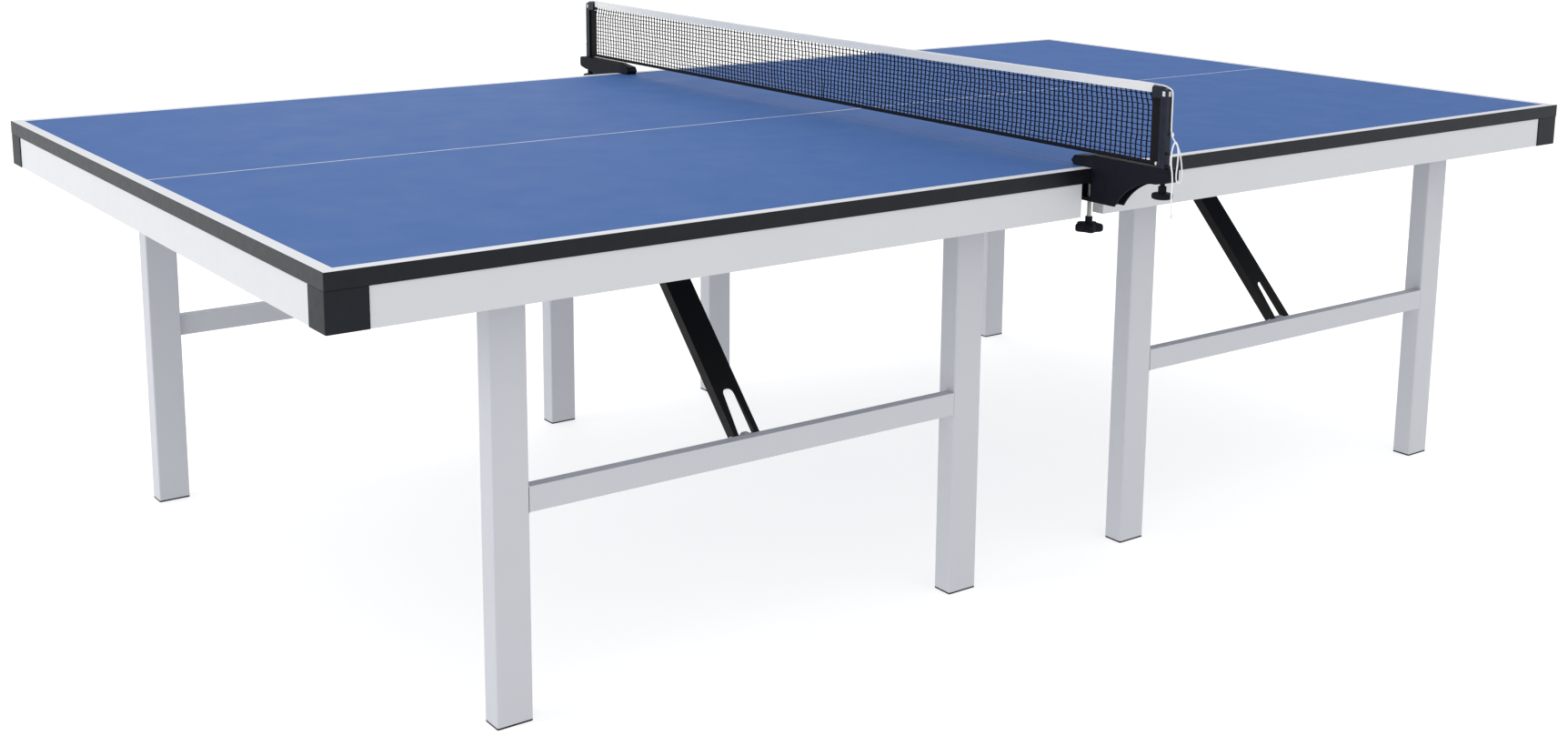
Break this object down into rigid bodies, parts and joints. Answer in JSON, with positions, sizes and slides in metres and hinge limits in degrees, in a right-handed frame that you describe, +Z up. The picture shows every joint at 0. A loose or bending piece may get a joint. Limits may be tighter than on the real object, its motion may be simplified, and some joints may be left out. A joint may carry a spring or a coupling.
{
  "type": "table tennis table",
  "caption": "Two-half blue table tennis table on folding light grey steel leg frames with black braces, and a clamp-on net set.",
  "frame": {"origin": "on the floor, under the middle of the table and of the net", "axes": "+X along the table's length, +Y across it towards the far side, +Z up"},
  "size_m": [2.74, 1.8707, 0.918],
  "materials": {
    "playing_surface": "matt blue painted board",
    "black_plastic": "moulded black plastic",
    "grey_powder_coat": "light grey powder coat on steel tube",
    "black_powder_coat": "black powder coat on folded sheet steel",
    "steel": "zinc plated steel",
    "white_plastic": "white nylon",
    "black_rubber": "black rubber",
    "clamp_plastic": "glass-filled black nylon with a fine grain",
    "net_fabric": "knotted black netting",
    "tape_fabric": "white cotton webbing",
    "cord_fabric": "white braided cord"
  },
  "bodies": {
    "table": {"top_left": "playing_surface", "top_right": "playing_surface", "edge_band_left": "black_plastic", "edge_band_right": "black_plastic", "side_rails_left": "grey_powder_coat", "side_rails_right": "grey_powder_coat", "end_rails": "grey_powder_coat", "joint_rails": "grey_powder_coat", "corner_caps": "black_plastic", "hinge_brackets_left": "black_powder_coat", "hinge_brackets_right": "black_powder_coat", "leg_pivot_bolts": "steel", "brace_tracks_left": "black_powder_coat", "brace_tracks_right": "black_powder_coat", "panel_screws": "steel", "latch_studs": "steel", "clamp_near": "clamp_plastic", "clamp_far": "clamp_plastic"},
    "leg_frame_left_near": {"legs_left_near": "grey_powder_coat", "crossbar_left_near": "grey_powder_coat", "foot_caps_left_near": "black_plastic", "brace_pin_left_near": "steel"},
    "brace_arm_left_near": {"brace_left_near": "black_powder_coat", "brace_rollers_left_near": "white_plastic"},
    "leg_frame_left_far": {"legs_left_far": "grey_powder_coat", "crossbar_left_far": "grey_powder_coat", "foot_caps_left_far": "black_plastic", "brace_pin_left_far": "steel"},
    "brace_arm_left_far": {"brace_left_far": "black_powder_coat", "brace_rollers_left_far": "white_plastic"},
    "leg_frame_right_near": {"legs_right_near": "grey_powder_coat", "crossbar_right_near": "grey_powder_coat", "foot_caps_right_near": "black_plastic", "brace_pin_right_near": "steel"},
    "brace_arm_right_near": {"brace_right_near": "black_powder_coat", "brace_rollers_right_near": "white_plastic"},
    "leg_frame_right_far": {"legs_right_far": "grey_powder_coat", "crossbar_right_far": "grey_powder_coat", "foot_caps_right_far": "black_plastic", "brace_pin_right_far": "steel"},
    "brace_arm_right_far": {"brace_right_far": "black_powder_coat", "brace_rollers_right_far": "white_plastic"},
    "latch_near": {"latch_hook_near": "steel"},
    "clamp_pad_near_body": {"clamp_pad_near": "black_rubber"},
    "clamp_screw_near_body": {"clamp_screw_near": "steel", "clamp_knob_near": "clamp_plastic"},
    "height_wheel_near_body": {"height_wheel_near": "clamp_plastic"},
    "latch_far": {"latch_hook_far": "steel"},
    "clamp_pad_far_body": {"clamp_pad_far": "black_rubber"},
    "clamp_screw_far_body": {"clamp_screw_far": "steel", "clamp_knob_far": "clamp_plastic"},
    "height_wheel_far_body": {"height_wheel_far": "clamp_plastic"},
    "net_frame": {"post_near": "clamp_plastic", "post_far": "clamp_plastic", "cord_cleat_near": "steel", "cord_cleat_far": "steel", "net": "net_fabric", "net_tape": "tape_fabric", "cord_near": "cord_fabric", "cord_far": "cord_fabric"}
  },
  "joints": [
    {"name": "leg_fold_left_near", "type": "hinge", "parent": "table", "child": "leg_frame_left_near", "pos_m": [-0.605, -0.612, 0.705], "axis": [1, 0, 0], "range_deg": [0, 90]},
    {"name": "brace_fold_left_near", "type": "hinge", "parent": "leg_frame_left_near", "child": "brace_arm_left_near", "pos_m": [-0.605, -0.602, 0.355], "axis": [1, 0, 0], "range_deg": [-137.3, 0]},
    {"name": "leg_fold_left_far", "type": "hinge", "parent": "table", "child": "leg_frame_left_far", "pos_m": [-0.705, 0.612, 0.705], "axis": [-1, 0, 0], "range_deg": [0, 90]},
    {"name": "brace_fold_left_far", "type": "hinge", "parent": "leg_frame_left_far", "child": "brace_arm_left_far", "pos_m": [-0.705, 0.602, 0.355], "axis": [-1, 0, 0], "range_deg": [-137.3, 0]},
    {"name": "leg_fold_right_near", "type": "hinge", "parent": "table", "child": "leg_frame_right_near", "pos_m": [0.705, -0.612, 0.705], "axis": [1, 0, 0], "range_deg": [0, 90]},
    {"name": "brace_fold_right_near", "type": "hinge", "parent": "leg_frame_right_near", "child": "brace_arm_right_near", "pos_m": [0.705, -0.602, 0.355], "axis": [1, 0, 0], "range_deg": [-137.3, 0]},
    {"name": "leg_fold_right_far", "type": "hinge", "parent": "table", "child": "leg_frame_right_far", "pos_m": [0.605, 0.612, 0.705], "axis": [-1, 0, 0], "range_deg": [0, 90]},
    {"name": "brace_fold_right_far", "type": "hinge", "parent": "leg_frame_right_far", "child": "brace_arm_right_far", "pos_m": [0.605, 0.602, 0.355], "axis": [-1, 0, 0], "range_deg": [-137.3, 0]},
    {"name": "latch_swing_near", "type": "hinge", "parent": "table", "child": "latch_near", "pos_m": [-0.0385, -0.3, 0.6865], "axis": [0, 0, 1], "range_deg": [0, 90]},
    {"name": "clamp_travel_near", "type": "slide", "parent": "table", "child": "clamp_pad_near_body", "axis": [0, 0, -1], "range_m": [0, 0.005]},
    {"name": "clamp_spin_near", "type": "hinge", "parent": "clamp_pad_near_body", "child": "clamp_screw_near_body", "pos_m": [0.0055, -0.748, 0.69], "axis": [0, 0, -1], "range_deg": [0, 1441]},
    {"name": "height_wheel_spin_near", "type": "hinge", "parent": "table", "child": "height_wheel_near_body", "pos_m": [0, -0.915, 0.74], "axis": [0, 0, -1], "range_deg": [0, 1441]},
    {"name": "latch_swing_far", "type": "hinge", "parent": "table", "child": "latch_far", "pos_m": [0.0385, 0.3, 0.6865], "axis": [0, 0, 1], "range_deg": [0, 90]},
    {"name": "clamp_travel_far", "type": "slide", "parent": "table", "child": "clamp_pad_far_body", "axis": [0, 0, -1], "range_m": [0, 0.005]},
    {"name": "clamp_spin_far", "type": "hinge", "parent": "clamp_pad_far_body", "child": "clamp_screw_far_body", "pos_m": [-0.0055, 0.748, 0.69], "axis": [0, 0, -1], "range_deg": [0, 1441]},
    {"name": "height_wheel_spin_far", "type": "hinge", "parent": "table", "child": "height_wheel_far_body", "pos_m": [0, 0.915, 0.74], "axis": [0, 0, -1], "range_deg": [0, 1441]},
    {"name": "net_height", "type": "slide", "parent": "table", "child": "net_frame", "axis": [0, 0, 1], "range_m": [0, 0.005]}
  ],
  "couplings": [
    {"joint": "brace_fold_left_near", "follows": "leg_fold_left_near", "ratio": -1.5241},
    {"joint": "brace_fold_left_far", "follows": "leg_fold_left_far", "ratio": -1.5241},
    {"joint": "brace_fold_right_near", "follows": "leg_fold_right_near", "ratio": -1.5241},
    {"joint": "brace_fold_right_far", "follows": "leg_fold_right_far", "ratio": -1.5241},
    {"joint": "clamp_spin_near", "follows": "clamp_travel_near", "rad_per_m": 5026.5},
    {"joint": "height_wheel_spin_near", "follows": "net_height", "rad_per_m": 5026.5},
    {"joint": "clamp_spin_far", "follows": "clamp_travel_far", "rad_per_m": 5026.5},
    {"joint": "height_wheel_spin_far", "follows": "net_height", "rad_per_m": 5026.5}
  ]
}
